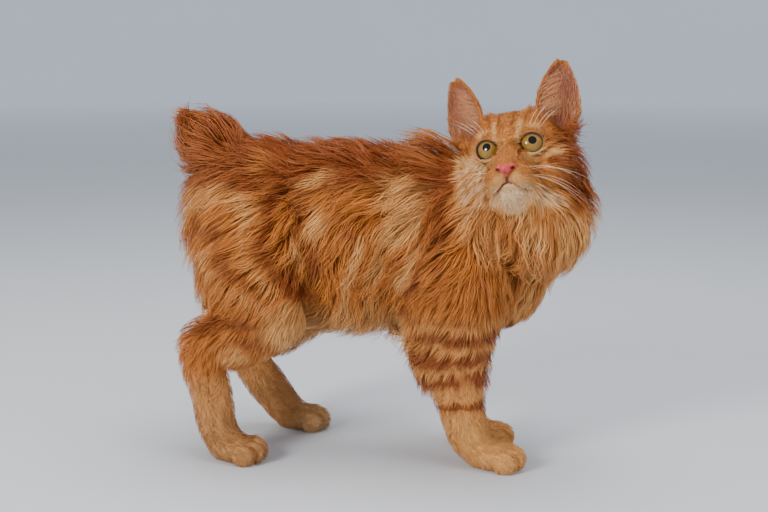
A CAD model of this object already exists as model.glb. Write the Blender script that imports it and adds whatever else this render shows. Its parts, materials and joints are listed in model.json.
import itertools
import json
import math
import bpy
import numpy as np
from mathutils import Matrix, Vector
from mathutils.bvhtree import BVHTree
from mathutils.kdtree import KDTree

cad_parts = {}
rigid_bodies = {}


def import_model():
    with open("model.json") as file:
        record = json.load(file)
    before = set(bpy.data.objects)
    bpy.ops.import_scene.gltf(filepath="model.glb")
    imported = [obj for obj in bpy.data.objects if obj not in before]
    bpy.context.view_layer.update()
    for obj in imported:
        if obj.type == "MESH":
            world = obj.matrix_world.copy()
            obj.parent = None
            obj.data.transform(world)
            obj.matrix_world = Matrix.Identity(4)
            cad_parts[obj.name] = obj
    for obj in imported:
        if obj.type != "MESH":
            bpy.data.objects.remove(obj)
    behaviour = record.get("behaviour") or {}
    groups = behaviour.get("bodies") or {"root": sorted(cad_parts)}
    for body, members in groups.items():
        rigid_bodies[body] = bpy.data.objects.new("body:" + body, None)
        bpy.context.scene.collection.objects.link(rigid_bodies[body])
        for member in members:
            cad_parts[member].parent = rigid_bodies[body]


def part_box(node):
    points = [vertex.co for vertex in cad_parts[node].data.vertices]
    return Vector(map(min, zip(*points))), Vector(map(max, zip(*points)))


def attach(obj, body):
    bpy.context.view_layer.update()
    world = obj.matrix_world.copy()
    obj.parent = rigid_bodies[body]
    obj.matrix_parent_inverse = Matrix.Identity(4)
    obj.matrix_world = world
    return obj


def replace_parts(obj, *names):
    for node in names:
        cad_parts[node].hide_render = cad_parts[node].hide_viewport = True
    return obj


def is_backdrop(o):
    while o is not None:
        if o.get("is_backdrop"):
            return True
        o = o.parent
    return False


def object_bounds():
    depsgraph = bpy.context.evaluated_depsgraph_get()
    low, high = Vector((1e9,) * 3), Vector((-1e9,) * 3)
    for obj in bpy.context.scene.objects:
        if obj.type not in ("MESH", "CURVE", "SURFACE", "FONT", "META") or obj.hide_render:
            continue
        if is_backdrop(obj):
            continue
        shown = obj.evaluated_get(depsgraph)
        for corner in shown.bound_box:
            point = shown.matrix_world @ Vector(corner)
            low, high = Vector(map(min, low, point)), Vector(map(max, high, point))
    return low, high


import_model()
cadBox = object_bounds()
mm = 0.001
print("frame loaded")

# the animal's own measures, in millimetres; x ahead, y to its left, z up
# the middle of the skull, and how the head is turned, in degrees
headPlace = dict(centre=(97.5, -17, 226), azimuth=-98, pitch=15, roll=11)

# centre and radii of each form
torso = dict(
    ribs=((38, 0, 163), (58, 42, 57)),
    withers=((42, 0, 208), (32, 22, 21)),
    belly=((-25, 0, 168), (64, 42, 58)),
    rump=((-94, 0, 180), (44, 39, 50)),
    loin=((-58, 0, 184), (36, 30, 41)),
    midBack=((8, 0, 182), (36, 28, 39)),
    foreChest=((85, 0, 150), (34, 34, 42)),
    shoulderRight=((60, -22, 164), (34, 20, 46)),
    shoulderLeft=((60, 22, 164), (34, 20, 46)),
)

# places along each limb, with its radius there
limbs = dict(
    neck=[(58, 0, 186, 38), (84, -2, 194, 37), (101, -4, 204, 31), (104, -6, 222, 26)],
    tail=[(-106, 0, 206, 14), (-116, 0, 219, 14), (-126, 0, 230, 13), (-133, 0, 237, 11)],
    hindRight=[(-92, -24, 166, 34), (-90, -36, 138, 32), (-79, -41, 110, 21), (-103, -42, 95, 19),
               (-128, -42, 84, 16), (-124, -42, 52, 14), (-119, -42, 24, 13), (-112, -42, 14, 12)],
    hindLeft=[(-92, 24, 166, 34), (-86, 36, 136, 32), (-71, 41, 107, 22), (-91, 43, 88, 20),
              (-121, 44, 66, 15.5), (-108, 44, 39, 14.5), (-93, 44, 20, 13.5), (-86, 44, 13, 12)],
    frontRight=[(58, -26, 140, 32), (54, -28, 108, 29), (57, -27, 74, 22), (61, -26, 48, 16),
                (67, -26, 24, 13), (75, -26, 14, 11.5)],
    frontLeft=[(58, 26, 140, 32), (51, 28, 108, 29), (52, 27, 74, 22), (54, 26, 48, 16),
               (58, 25, 24, 13), (66, 25, 14, 11.5)],
)
legFlatness = 0.8
soleHeight, lowestHair = 0.25, 0.4

# where each foot stands, and its turn in degrees
feet = dict(
    frontRight=((87, -26), -4), frontLeft=((75, 25), 5), hindRight=((-104, -42), -6), hindLeft=((-76, 44), 6),
)
footForms = [((-12, 0, 13), (10.5, 11.5, 12.5)), ((-2, 0, 9.5), (16.5, 13.5, 10))]
# forms off the middle stand for one on each side
toes = [((12.5, 4.4, 8.2), (9.0, 4.6, 8.3)), ((8, 11.6, 7.6), (8.5, 4.6, 8.3))]
clefts = dict(places=(0, 8.2, -8.2), width=0.85, depth=1.5)

# the head's forms, in its own frame: x ahead along the face, y to its left, z up
skull = [
    ((-6, 0, 6), (34, 32, 28)), ((3, 0, 14), (19, 24, 18)), ((0, 25, -12), (20, 15, 19)),
    ((-20, 26, 12), (12, 12, 14)), ((10, 0, -20), (24, 22, 17)), ((28, 0, -18), (15, 15, 13)),
    ((36, 7.2, -19.5), (8.5, 8.2, 7.6)), ((30, 0, -29), (8.5, 9, 7.5)), ((18, 0, -32), (16, 17, 12)),
    ((12, 14, 17), (8, 9, 5)), ((-6, 13, 26), (17, 12, 8.5)),
]
skullCoat = 0.7
bridge = [(14, 0, 14, 12), (26, 0, 1, 9.5), (36, 0, -9, 7)]
nape = [(-12, 0, -12, 31), (-12, 4, -42, 35)]
mouthLine = [(47, 0, -19.5), (45, 0, -23.5), (42.5, 4, -26), (38, 8, -27), (32.5, 11.5, -28)]
mouthPress = dict(depth=2.0, width=1.15, reach=4, lineDepth=1.7)
noseForms = [((45.3, 0, -14.2), (4.0, 4.3, 3.7)), ((44, 4.1, -12.9), (3.5, 3.1, 2.6))]
noseFoot = ((44.4, 0, -17.6), (2.1, 1.5, 2.4))

eyes = dict(
    place=(16.5, 14.2, 5.2), radius=9.4, turn=19, lift=5, pupil=17.5, iris=53,
    gaze={-1: (-5, 11), 1: (20, 10)},  # where each eyeball is turned, sideways and up, in degrees
    spread=(55, 50.5), corner=10, slant=9, upperLid=3.5,  # the opening, in degrees round the eyeball
    lidRadius=1.15,
)
ears = dict(
    place=(-9, 27, 24), height=46.5, cup=15, flatter=0.55, backward=4.5, bend=1.25, lean=17, facing=32,
    thickness=2.0, tipThickness=0.62,
    halfWidths=[  # share of the height, half width there
        (-0.3, 8), (-0.15, 12), (0, 14.6), (0.1, 15.8), (0.2, 16.4), (0.3, 16.3), (0.4, 15.8), (0.5, 14.7),
        (0.6, 13.4), (0.7, 11.4), (0.8, 9.0), (0.88, 6.8), (0.93, 5.3), (0.97, 3.8), (1.0, 2.2),
    ],
)
# voxel size and rounds of smoothing of each melted form
melts = dict(trunk=(1.7, 8), foot=(0.8, 3), face=(0.75, 5), fold=(0.6, 3), lids=(0.7, 2), nose=(0.32, 6))
sides = (1, -1)  # the left and the right
patch = 0.003  # size of one lock's place on the unwrapped skin


def bothSides(forms):
    for centre, radii in forms:
        yield centre, radii
        if centre[1]:
            yield (centre[0], -centre[1], centre[2]), radii


def headMatrix():
    azimuth, pitch, roll = (math.radians(headPlace[k]) for k in ("azimuth", "pitch", "roll"))
    level = math.cos(pitch)
    ahead = Vector((math.cos(azimuth) * level, math.sin(azimuth) * level, math.sin(pitch)))
    levelLeft = Vector((0, 0, 1)).cross(ahead).normalized()
    left = levelLeft * math.cos(roll) + ahead.cross(levelLeft) * math.sin(roll)
    turn = Matrix((ahead, left, ahead.cross(left))).transposed().to_4x4()
    return Matrix.Translation(headPlace["centre"]) @ turn


body = Matrix.Identity(4)
head = headMatrix()


def eyeMatrix(side, degrees=None):
    x, y, z = eyes["place"]
    aside, up = degrees or (side * eyes["turn"], eyes["lift"])
    turn = Matrix.Rotation(math.radians(aside), 4, "Z") @ Matrix.Rotation(math.radians(-up), 4, "Y")
    return head @ Matrix.Translation((x, side * y, z)) @ turn


def earMatrix(side):
    x, y, z = ears["place"]
    lean = Matrix.Rotation(math.radians(-side * ears["lean"]), 4, "X")
    facing = Matrix.Rotation(math.radians(side * ears["facing"]), 4, "Z")
    return head @ Matrix.Translation((x, side * y, z)) @ lean @ facing


def earDepth(up, bend):
    # how far ahead the ear's middle sheet lies, at a share of its height and an angle across its cup
    cup = ears["cup"] * (1 - ears["flatter"] * np.maximum(0, up))
    return cup * (1 - np.cos(bend)) - ears["backward"] * up


def earHalf(up):
    return np.interp(up, *np.array(ears["halfWidths"]).T)


# the CAD model is centred on its own box, so its right eye tells how far
low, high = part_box("eye_right")
shift = np.array([(a + b) / 2 for a, b in zip(low, high)]) - np.array(eyeMatrix(-1).translation) * mm
print("shift", np.round(shift * 1000, 2))


# arrays and meshes

def apply(matrix, points):
    m = np.array(matrix)
    return np.asarray(points, float) @ m[:3, :3].T + m[:3, 3]


def ownFrame(matrix, points):
    return apply(np.linalg.inv(np.array(matrix)), points)


def setPoints(obj, points):
    obj.data.vertices.foreach_set("co", (points * mm + shift).astype(np.float32).ravel())
    obj.data.polygons.foreach_set("use_smooth", np.ones(len(obj.data.polygons), bool))
    obj.data.update()


def setValues(obj, key, values):
    obj.data.attributes.new(key, "FLOAT", "POINT").data.foreach_set("value", values.astype(np.float32))


def dress(obj, material):
    obj.data.materials.clear()
    obj.data.materials.append(material)


def makeObject(name, points, faces, attributes=None, uvs=None):
    # points in millimetres of the animal's own frame, faces as rows of one length
    mesh = bpy.data.meshes.new(name)
    faces = np.asarray(faces, np.int32)
    corners = faces.shape[1]
    mesh.vertices.add(len(points))
    mesh.vertices.foreach_set("co", (np.asarray(points) * mm + shift).astype(np.float32).ravel())
    mesh.loops.add(faces.size)
    mesh.loops.foreach_set("vertex_index", faces.ravel())
    mesh.polygons.add(len(faces))
    mesh.polygons.foreach_set("loop_start", np.arange(0, faces.size, corners, dtype=np.int32))
    mesh.polygons.foreach_set("use_smooth", np.ones(len(faces), bool))
    if uvs is not None:
        layer = mesh.uv_layers.new(name="OFBake")
        layer.data.foreach_set("uv", uvs.astype(np.float32).ravel())
    mesh.update(calc_edges=True)
    obj = bpy.data.objects.new(name, mesh)
    bpy.context.scene.collection.objects.link(obj)
    for key, values in (attributes or {}).items():
        setValues(obj, key, values)
    return obj


def globeFaces(rows, around):
    # triangles for rows of points round an axis, between one point at each end
    last = rows * around + 1
    faces = []
    for j in range(around):
        k = (j + 1) % around
        faces.append((0, 1 + j, 1 + k))
        for i in range(rows - 1):
            a, b = 1 + i * around, 1 + (i + 1) * around
            faces += [(a + j, b + j, b + k), (a + j, b + k, a + k)]
        faces.append((last, last - around + k, last - around + j))
    return np.array(faces)


def ballArrays(rings=14, around=24):
    points = [(0, 0, 1)]
    for i in range(1, rings):
        a = math.pi * i / rings
        points += [(math.sin(a) * math.cos(t), math.sin(a) * math.sin(t), math.cos(a))
                   for t in np.linspace(0, 2 * math.pi, around, endpoint=False)]
    points.append((0, 0, -1))
    return np.array(points), globeFaces(rings - 1, around)


ballPoints, ballFaces = ballArrays()


class Soup:
    # overlapping closed forms, melted into one skin later
    def __init__(self):
        self.points, self.faces, self.count = [], [], 0

    def add(self, points, faces):
        self.points.append(points)
        self.faces.append(np.asarray(faces) + self.count)
        self.count += len(points)

    def ball(self, centre, radii, place=body):
        self.add(apply(place, ballPoints * np.array(radii) + np.array(centre)), ballFaces)

    def limb(self, joints, grow=0, place=body, flatness=1.0):
        for x, y, z, r in smoothThrough(joints, 8):
            self.ball((x, y, z), (r + grow, (r + grow) * flatness, r + grow), place)

    def melt(self, name, how):
        return melted(makeObject(name, np.concatenate(self.points), np.concatenate(self.faces)), how)


def melted(obj, how):
    voxel, rounds = melts[how]
    remesh = obj.modifiers.new("melt", "REMESH")
    remesh.mode, remesh.voxel_size = "VOXEL", voxel * mm
    smooth = obj.modifiers.new("smooth", "SMOOTH")
    smooth.factor, smooth.iterations = 0.5, rounds
    applyAll(obj)
    return obj


def applyAll(obj):
    graph = bpy.context.evaluated_depsgraph_get()
    mesh = bpy.data.meshes.new_from_object(obj.evaluated_get(graph))
    obj.modifiers.clear()
    old, obj.data = obj.data, mesh
    bpy.data.meshes.remove(old)


def combine(obj, others, operation):
    for other in others:
        cut = obj.modifiers.new("combine", "BOOLEAN")
        cut.operation, cut.solver, cut.object = operation, "MANIFOLD", other
        applyAll(obj)
        bpy.data.objects.remove(other)
    return obj


def ramp(x, a, b):
    t = np.clip((np.asarray(x, float) - a) / (b - a), 0, 1)
    return t * t * (3 - 2 * t)


def smoothThrough(joints, steps):
    padded = np.array([joints[0], *joints, joints[-1]], float)
    t = (np.arange(steps) / steps)[:, None]
    rows = [0.5 * (2 * q + (r - p) * t + (2 * p - 5 * q + 4 * r - s) * t * t + (3 * q - p - 3 * r + s) * t**3)
            for p, q, r, s in zip(padded, padded[1:], padded[2:], padded[3:])]
    return np.concatenate(rows + [padded[-1:]])


def meshArrays(obj):
    mesh = obj.data
    mesh.calc_loop_triangles()
    points = np.empty(len(mesh.vertices) * 3, np.float32)
    mesh.vertices.foreach_get("co", points)
    normals = np.empty(len(mesh.vertices) * 3, np.float32)
    mesh.vertex_normals.foreach_get("vector", normals)
    tris = np.empty(len(mesh.loop_triangles) * 3, np.int32)
    mesh.loop_triangles.foreach_get("vertices", tris)
    loops = np.empty(len(mesh.loop_triangles) * 3, np.int32)
    mesh.loop_triangles.foreach_get("loops", loops)
    points = (points.reshape(-1, 3).astype(float) - shift) / mm
    return points, normals.reshape(-1, 3).astype(float), tris.reshape(-1, 3), loops.reshape(-1, 3)


# the skin

def earSheet(side, across=16):
    rows = []
    for up, half in ears["halfWidths"]:
        bend = np.linspace(-ears["bend"], ears["bend"], across + 1)
        aside = half * np.sin(bend) / math.sin(ears["bend"])
        rows.append(np.stack([earDepth(up, bend), aside, np.full(across + 1, up * ears["height"])], 1))
    front = np.stack(rows)
    n = np.cross(np.gradient(front, axis=1), np.gradient(front, axis=0))
    n /= np.linalg.norm(n, axis=2, keepdims=True)
    taper = np.linspace(1.0, ears["tipThickness"], len(rows))[:, None, None] * ears["thickness"] / 2
    a, b = (front + n * taper).reshape(-1, 3), (front - n * taper).reshape(-1, 3)
    w, h = across + 1, len(rows)
    starts = [i * w + j for i in range(h - 1) for j in range(across)]
    quads = [(k, k + 1, k + w + 1, k + w) for k in starts]
    edge = list(range(w)) + [i * w + across for i in range(1, h)]
    edge += [(h - 1) * w + j for j in range(across - 1, -1, -1)]
    edge += [i * w for i in range(h - 2, 0, -1)]
    m = w * h
    faces = quads + [tuple(m + k for k in reversed(f)) for f in quads]
    faces += [(p, m + p, m + q, q) for p, q in zip(edge, edge[1:] + edge[:1])]
    tris = [t for f in faces for t in ((f[0], f[1], f[2]), (f[0], f[2], f[3]))]
    return apply(earMatrix(side), np.concatenate([a, b])), tris


def opening(side, steps, less=0.0):
    # the edge of one eye's opening as unit vectors from the eyeball's centre, drawn out towards the nose
    t = np.linspace(0, 2 * math.pi, steps, endpoint=False)
    level = t - math.radians(side * eyes["slant"])
    wide, tall = eyes["spread"]
    spread = np.hypot(wide * np.cos(level), tall * np.sin(level))
    spread = spread - eyes["upperLid"] * np.clip(np.sin(level), 0, 1)
    spread = np.radians(spread + eyes["corner"] * np.clip(-side * np.cos(level), 0, 1)**8 - less)
    return np.stack([np.cos(spread), np.sin(spread) * np.cos(t), np.sin(spread) * np.sin(t)], 1), level


def openingCone(side, steps=48):
    edge, _ = opening(side, steps, 4)
    points = np.concatenate([[(0, 0, 0)], edge * 24, [(26, 0, 0)]])
    pairs = [(1 + i, 1 + (i + 1) % steps) for i in range(steps)]
    tris = [(0, q, p) for p, q in pairs] + [(steps + 1, p, q) for p, q in pairs]
    return apply(eyeMatrix(side), points), tris


def lidRing(side, reach, around=10, steps=48):
    line, level = opening(side, steps)
    line = line * reach
    tangent = np.roll(line, -1, 0) - np.roll(line, 1, 0)
    tangent /= np.linalg.norm(tangent, axis=1, keepdims=True)
    out = line / np.linalg.norm(line, axis=1, keepdims=True)
    aside = np.cross(tangent, out)
    a = np.linspace(0, 2 * math.pi, around, endpoint=False)[None, :, None]
    r = eyes["lidRadius"] * (1 + 0.35 * np.clip(np.sin(level), 0, 1))[:, None, None]
    points = line[:, None] + r * (np.cos(a) * out[:, None] + np.sin(a) * aside[:, None])
    tris = []
    for i in range(steps):
        for j in range(around):
            p, q = i * around + j, i * around + (j + 1) % around
            s, u = (i + 1) % steps * around + j, (i + 1) % steps * around + (j + 1) % around
            tris += [(p, s, u), (p, u, q)]
    return apply(eyeMatrix(side), points.reshape(-1, 3)), tris


def ballObject(name, centre, radii, place):
    return makeObject(name, apply(place, ballPoints * np.array(radii) + np.array(centre)), ballFaces)


def footPlace(x, y, degrees):
    return Matrix.Translation((x, y, 0)) @ Matrix.Rotation(math.radians(degrees), 4, "Z")


def toeGap(own):
    # 1 in the clefts between the toes, in a foot's own frame
    share = np.zeros(len(own))
    ahead = ramp(own[:, 0], 5, 11) * (own[:, 0] < 30) * ramp(-own[:, 2], -19, -15)
    for y in clefts["places"]:
        share = np.maximum(share, np.exp(-((own[:, 1] - y) / clefts["width"])**2) * ahead)
    return share


def browFold(side, thick=1.9):
    # the soft fold over an eye
    fold = Soup()
    reach = eyes["radius"] + 0.6
    for t in np.linspace(0.12, 0.88, 26) * math.pi:
        spread = math.radians(eyes["spread"][1] + 19 + 9 * abs(math.cos(t)))
        across = reach * math.sin(spread) * math.cos(t)
        up = reach * math.sin(spread) * math.sin(t)
        fold.ball((reach * math.cos(spread), across, up), [thick] * 3, eyeMatrix(side))
    return fold.melt("fold", "fold")


mouthPoints = []


def makeSkin():
    trunk = Soup()
    for centre, radii in torso.values():
        trunk.ball(centre, radii)
    for name, joints in limbs.items():
        trunk.limb(joints, flatness=legFlatness if name[0] in "hf" else 1.0)
    skin = trunk.melt("skin", "trunk")

    for name, ((x, y), degrees) in feet.items():
        place = footPlace(x, y, degrees)
        foot = Soup()
        for centre, radii in footForms:
            foot.ball(centre, radii, place)
        for centre, radii in bothSides(toes):
            foot.ball(centre, radii, place)
        foot.limb(limbs[name][-3:], 0.3, flatness=legFlatness)
        combine(skin, [foot.melt("foot", "foot")], "UNION")

    face = Soup()
    for centre, radii in bothSides(skull):
        face.ball(centre, [r + skullCoat for r in radii], head)
    face.limb(bridge, skullCoat, head)
    face.limb(nape, 0, head)
    for side in sides:
        face.add(*earSheet(side))
    face = face.melt("face", "face")
    combine(face, [makeObject("scoop", *openingCone(side)) for side in sides], "DIFFERENCE")
    for side in sides:
        combine(face, [makeObject("lid", *lidRing(side, eyes["radius"] + 0.5))], "UNION")
        combine(face, [browFold(side)], "UNION")
    melted(face, "lids")
    socket = [eyes["radius"] + 0.15] * 3
    combine(face, [ballObject("socket", (0, 0, 0), socket, eyeMatrix(side)) for side in sides], "DIFFERENCE")
    combine(skin, [face], "UNION")

    # the mouth is pressed in along its line, and the soles are flattened
    points, normals, tris, loops = meshArrays(skin)
    tree = BVHTree.FromPolygons(points.tolist(), tris.tolist())
    line = []
    for side in sides:
        for p in smoothThrough([(x, side * y, z) for x, y, z in mouthLine], 6):
            found = tree.find_nearest(Vector(apply(head, [p])[0]))
            line.append(found[0])
            mouthPoints.append(found[0] - found[1] * mouthPress["lineDepth"])
    kd = KDTree(len(line))
    for i, p in enumerate(line):
        kd.insert(p, i)
    kd.balance()
    near = np.linalg.norm(points - np.array(head.translation), axis=1) < 75
    for i in np.nonzero(near)[0]:
        distance = kd.find(Vector(points[i]))[2]
        if distance < mouthPress["reach"]:
            points[i] -= normals[i] * mouthPress["depth"] * math.exp(-(distance / mouthPress["width"])**2)
    for (x, y), degrees in feet.values():
        points -= normals * (toeGap(ownFrame(footPlace(x, y, degrees), points)) * clefts["depth"])[:, None]
    points[:, 2] = np.maximum(points[:, 2], soleHeight)
    setPoints(skin, points)
    return skin


skin = makeSkin()
print("skin", len(skin.data.polygons), "faces")


def unwrap(obj):
    bpy.context.view_layer.objects.active = obj
    for other in bpy.context.view_layer.objects:
        other.select_set(other == obj)
    bpy.ops.object.mode_set(mode="EDIT")
    bpy.ops.mesh.select_all(action="SELECT")
    bpy.ops.uv.smart_project(angle_limit=math.radians(70), island_margin=0.002)
    bpy.ops.object.mode_set(mode="OBJECT")
    obj.data.uv_layers[0].name = "OFBake"


unwrap(skin)
print("skin unwrapped")

# the lie of the coat: place, lie, length, stand-off in degrees, depth of the under-coat; a row holds for
# both sides unless its name ends in Right or Left

bodyCoat = dict(
    back=((-20, 0, 232), (-1, 0, -0.06), 34, 10, 10),
    backFront=((25, 0, 228), (-1, 0, 0.0), 34, 11, 9),
    backRear=((-55, 0, 230), (-1, 0, 0.05), 34, 9, 9),
    withers=((48, 0, 226), (-1, 0, 0.3), 34, 26, 11),
    croup=((-85, 0, 230), (-1, 0, 0.0), 32, 6, 5),
    flankHigh=((-20, -38, 196), (-0.8, -0.1, -0.6), 36, 10, 7),
    flank=((-20, -46, 162), (-0.5, -0.1, -0.9), 36, 11, 7),
    bellySide=((-20, -36, 125), (-0.25, 0.05, -1), 38, 22, 8),
    belly=((-20, 0, 106), (-0.6, 0, -0.6), 34, 38, 9),
    bellyFront=((20, 0, 102), (-0.6, 0, -0.6), 34, 42, 10),
    bellyRear=((-60, 0, 112), (-0.7, 0, -0.4), 18, 20, 5),
    chestUnder=((60, 0, 100), (-0.8, 0, -0.3), 22, 28, 6),
    shoulder=((60, -42, 175), (-0.60, -0.1, -0.8), 34, 11, 7),
    arm=((55, -44, 132), (-0.4, 0, -0.9), 20, 11, 5),
    armLow=((52, -44, 108), (-0.3, 0, -0.95), 13, 12, 4),
    rumpSide=((-95, -38, 195), (-0.75, -0.1, -0.6), 36, 11, 7),
    thigh=((-95, -48, 145), (-0.5, -0.05, -0.9), 30, 12, 6),
    rumpBack=((-138, 0, 182), (-0.35, 0, -0.9), 38, 22, 8),
    breeches=((-136, -28, 142), (-0.5, -0.1, -0.85), 36, 20, 6),
    breechesLow=((-130, -42, 108), (-0.6, -0.1, -0.8), 20, 16, 4),
    flankFold=((-52, -42, 116), (-0.4, 0, -1), 20, 10, 5),
    knee=((-70, -46, 105), (-0.7, 0, -0.7), 13, 10, 3),
    hock=((-140, -42, 84), (-0.2, 0, -1), 12, 11, 2),
    metatarsus=((-122, -42, 50), (0, 0, -1), 6, 8, 1),
    hindToes=((-96, -42, 18), (0.9, 0, -0.4), 4, 8, 0.5),
    elbow=((30, -30, 98), (-0.6, 0, -0.8), 20, 18, 4),
    forearmTop=((70, -34, 88), (-0.2, 0, -1), 12, 11, 3),
    forearm=((60, -26, 52), (-0.1, 0, -1), 7, 9, 1),
    frontToes=((92, -26, 18), (0.9, 0, -0.4), 4, 8, 0.5),
    chest=((128, 0, 150), (-0.1, 0, -1), 30, 8, 4),
    chestLow=((108, 0, 114), (-0.5, 0, -0.9), 23, 11, 4),
    ruff=((130, -10, 188), (0.15, 0, -1), 30, 10, 6),
    ruffSide=((92, -40, 190), (-0.2, -0.2, -1), 32, 13, 8),
    nape=((62, 0, 222), (-1, 0, 0.1), 30, 20, 8),
    tailFront=((-106, 0, 232), (-0.3, 0, 1), 38, 5, 7),
    tailTop=((-120, 0, 242), (-0.4, 0, 1), 40, 13, 8),
    tailTip=((-136, 0, 246), (-0.7, 0, 0.8), 35, 30, 8),
    tailSide=((-124, -16, 226), (-0.85, -0.12, 0.45), 38, 18, 8),
    tailBack=((-144, 0, 230), (-1, 0, 0.1), 31, 38, 8),
    tailUnder=((-136, 0, 212), (-0.9, 0, -0.45), 33, 38, 8),
)
headCoat = dict(  # in the head's own frame
    bridge=((35, 0, -5), (-1, 0, 0.5), 3.4, 4, 0.3),
    forehead=((14, 0, 26), (-1, 0, 0.3), 5.5, 5, 0.6),
    crown=((-14, 0, 33), (-1, 0, -0.1), 10, 12, 1.4),
    brow=((22, -17, 16), (-0.6, -0.5, 0.6), 4, 5, 0.4),
    underEye=((26, -19, -4), (-0.5, -0.8, -0.35), 4, 5, 0.4),
    templeRight=((4, -34, 8), (-0.95, -0.2, -0.1), 8, 8, 0.8),
    templeLeft=((2, 37, 0), (-0.5, 0.88, -0.2), 19, 30, 3),
    cheekFront=((20, -27, -12), (-0.8, -0.6, -0.35), 8, 10, 1),
    cheekBackRight=((-4, -38, -14), (-0.85, -0.15, -0.6), 10, 7, 1.2),
    cheekBackLeft=((-4, 38, -14), (-0.35, 0.9, -0.45), 26, 34, 4),
    jawRight=((8, -26, -30), (-0.6, -0.25, -0.85), 14, 10, 2),
    jawLeft=((8, 26, -30), (-0.4, 0.75, -0.7), 23, 20, 3),
    chin=((33, 0, -38), (-0.4, 0, -1), 6, 10, 0.6),
    underChin=((24, 0, -44), (-0.5, 0, -1), 15, 13, 1.5),
    throat=((8, 0, -40), (-0.3, 0, -1), 28, 15, 3),
    pad=((42, -9, -22), (-0.6, -0.8, -0.2), 2.6, 4, 0.2),
    lip=((38, -4, -30), (-0.2, -0.3, -1), 2.8, 5, 0.2),
    headBack=((-38, 0, 0), (-0.3, 0, -1), 24, 12, 3),
    earRoot=((-20, -34, 6), (-0.7, -0.6, -0.45), 11, 8, 1.2),
)
earCoat = dict(  # in the ear's own frame
    low=((0, 0, 0), (-0.1, 0, 1), 6, 12, 0.3),
    middle=((0, 0, 24), (-0.1, 0, 1), 4.5, 10, 0.3),
    tip=((0, 0, 46), (-0.3, 0, 1), 2.2, 8, 0.3),
)
neckPlane = ((97, -14, 201), (0, -0.25, 0.97))
# how low the coat hangs between the legs, x and z
hem = [(-96, 64), (-82, 72), (-68, 83), (-58, 93), (-27, 87), (12, 84), (26, 84)]


class Lie:
    # mixes the nearest places of a table
    def __init__(self, table, place=body, reach=22):
        rows = []
        for name, (point, lie, length, lift, depth) in table.items():
            oneSided = point[1] == 0 or name.endswith(("Right", "Left"))
            for side in sides[:1] if oneSided else sides:
                where = apply(place, [(point[0], point[1] * side, point[2])])[0]
                way = np.array(place)[:3, :3] @ np.array((lie[0], lie[1] * side, lie[2]))
                rows.append((*where, *(way / np.linalg.norm(way)), length, lift, depth))
        self.rows, self.reach = np.array(rows), reach

    def at(self, points):
        apart = np.linalg.norm(points[:, None] - self.rows[None, :, :3], axis=2) / self.reach
        weight = 1 / (0.05 + apart**4)
        weight /= weight.sum(1, keepdims=True)
        return (weight @ self.rows[:, 3:6], *(weight @ self.rows[:, k] for k in (6, 7, 8)))


bodyLie, headLie = Lie(bodyCoat), Lie(headCoat, head, 13)
earLies = {side: Lie(earCoat, earMatrix(side), 30) for side in sides}
toHead = np.linalg.inv(np.array(head))
toEar = {side: np.linalg.inv(np.array(earMatrix(side))) for side in sides}


def unit(v):
    return v / np.maximum(np.linalg.norm(v, axis=-1, keepdims=True), 1e-9)


def earShare(points):
    # how much a point belongs to each ear's sheet, from where it leaves the skull
    shares = {}
    for side in sides:
        p = apply(toEar[side], points)
        shares[side] = ramp(p[:, 2], 3, 9) * (np.abs(p[:, 1]) < 24) * (np.abs(p[:, 0]) < 22)
    return shares


def headShare(points):
    over = (points - np.array(neckPlane[0])) @ unit(np.array(neckPlane[1], float))
    near = 80 - np.linalg.norm(points - np.array(head.translation), axis=1)
    own = apply(toHead, points)
    beside = np.where(own[:, 1] < 0, 41.5, 48) - np.abs(own[:, 1]) + 3 * np.clip(own[:, 2] - 16, 0, 40)
    return ramp(np.minimum(np.minimum(over, near * 0.5), beside), -4, 5)


def lieAt(points):
    # lie, length, stand-off and depth of the coat anywhere
    found = bodyLie.at(points)
    over = [(headLie.at(points), headShare(points))]
    over += [(earLies[side].at(points), share) for side, share in earShare(points).items()]
    for other, share in over:
        found = [a + (b - a) * (share[:, None] if a.ndim == 2 else share) for a, b in zip(found, other)]
    lie, length, lift, depth = found
    return unit(lie), length, lift, depth


waves = np.random.default_rng(5)
waveWays = waves.normal(size=(3, 7, 3))
wavePhases = waves.uniform(0, 2 * math.pi, (3, 7))


def swirl(points, size, channel=0):
    # a smooth wander between about -1 and 1, changing over the given size
    total = np.zeros(len(points))
    for way, phase in zip(waveWays[channel], wavePhases[channel]):
        total += np.sin(points @ way * (2.2 / size) + phase)
    return total / 3.2


def wander(points, size):
    return np.stack([swirl(points, size, c) for c in range(3)], 1)


# the skin as arrays

points, normals, tris, loops = meshArrays(skin)
tree = BVHTree.FromPolygons(points.tolist(), tris.tolist())
uvFlat = np.empty(len(skin.data.loops) * 2, np.float32)
skin.data.uv_layers["OFBake"].data.foreach_get("uv", uvFlat)
triUv = uvFlat.reshape(-1, 2)[loops].mean(1)


def smoothedNormals(rounds=10):
    edges = np.concatenate([tris[:, [0, 1]], tris[:, [1, 2]], tris[:, [2, 0]]])
    edges = np.unique(np.sort(edges, axis=1), axis=0)
    result = normals.copy()
    for _ in range(rounds):
        total = result.copy()
        for k in range(3):
            total[:, k] += np.bincount(edges[:, 0], result[edges[:, 1], k], len(result))
            total[:, k] += np.bincount(edges[:, 1], result[edges[:, 0], k], len(result))
        result = unit(total)
    return result


softNormals = smoothedNormals()


def nearestOn(places):
    found = np.empty((len(places), 3))
    index = np.empty(len(places), int)
    for i, p in enumerate(places.tolist()):
        where, _, index[i], _ = tree.find_nearest(p)
        found[i] = where
    return found, unit(softNormals[tris[index]].mean(1))


# markings: rust stripes and pale streaks, drawn as lines in millimetres

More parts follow.
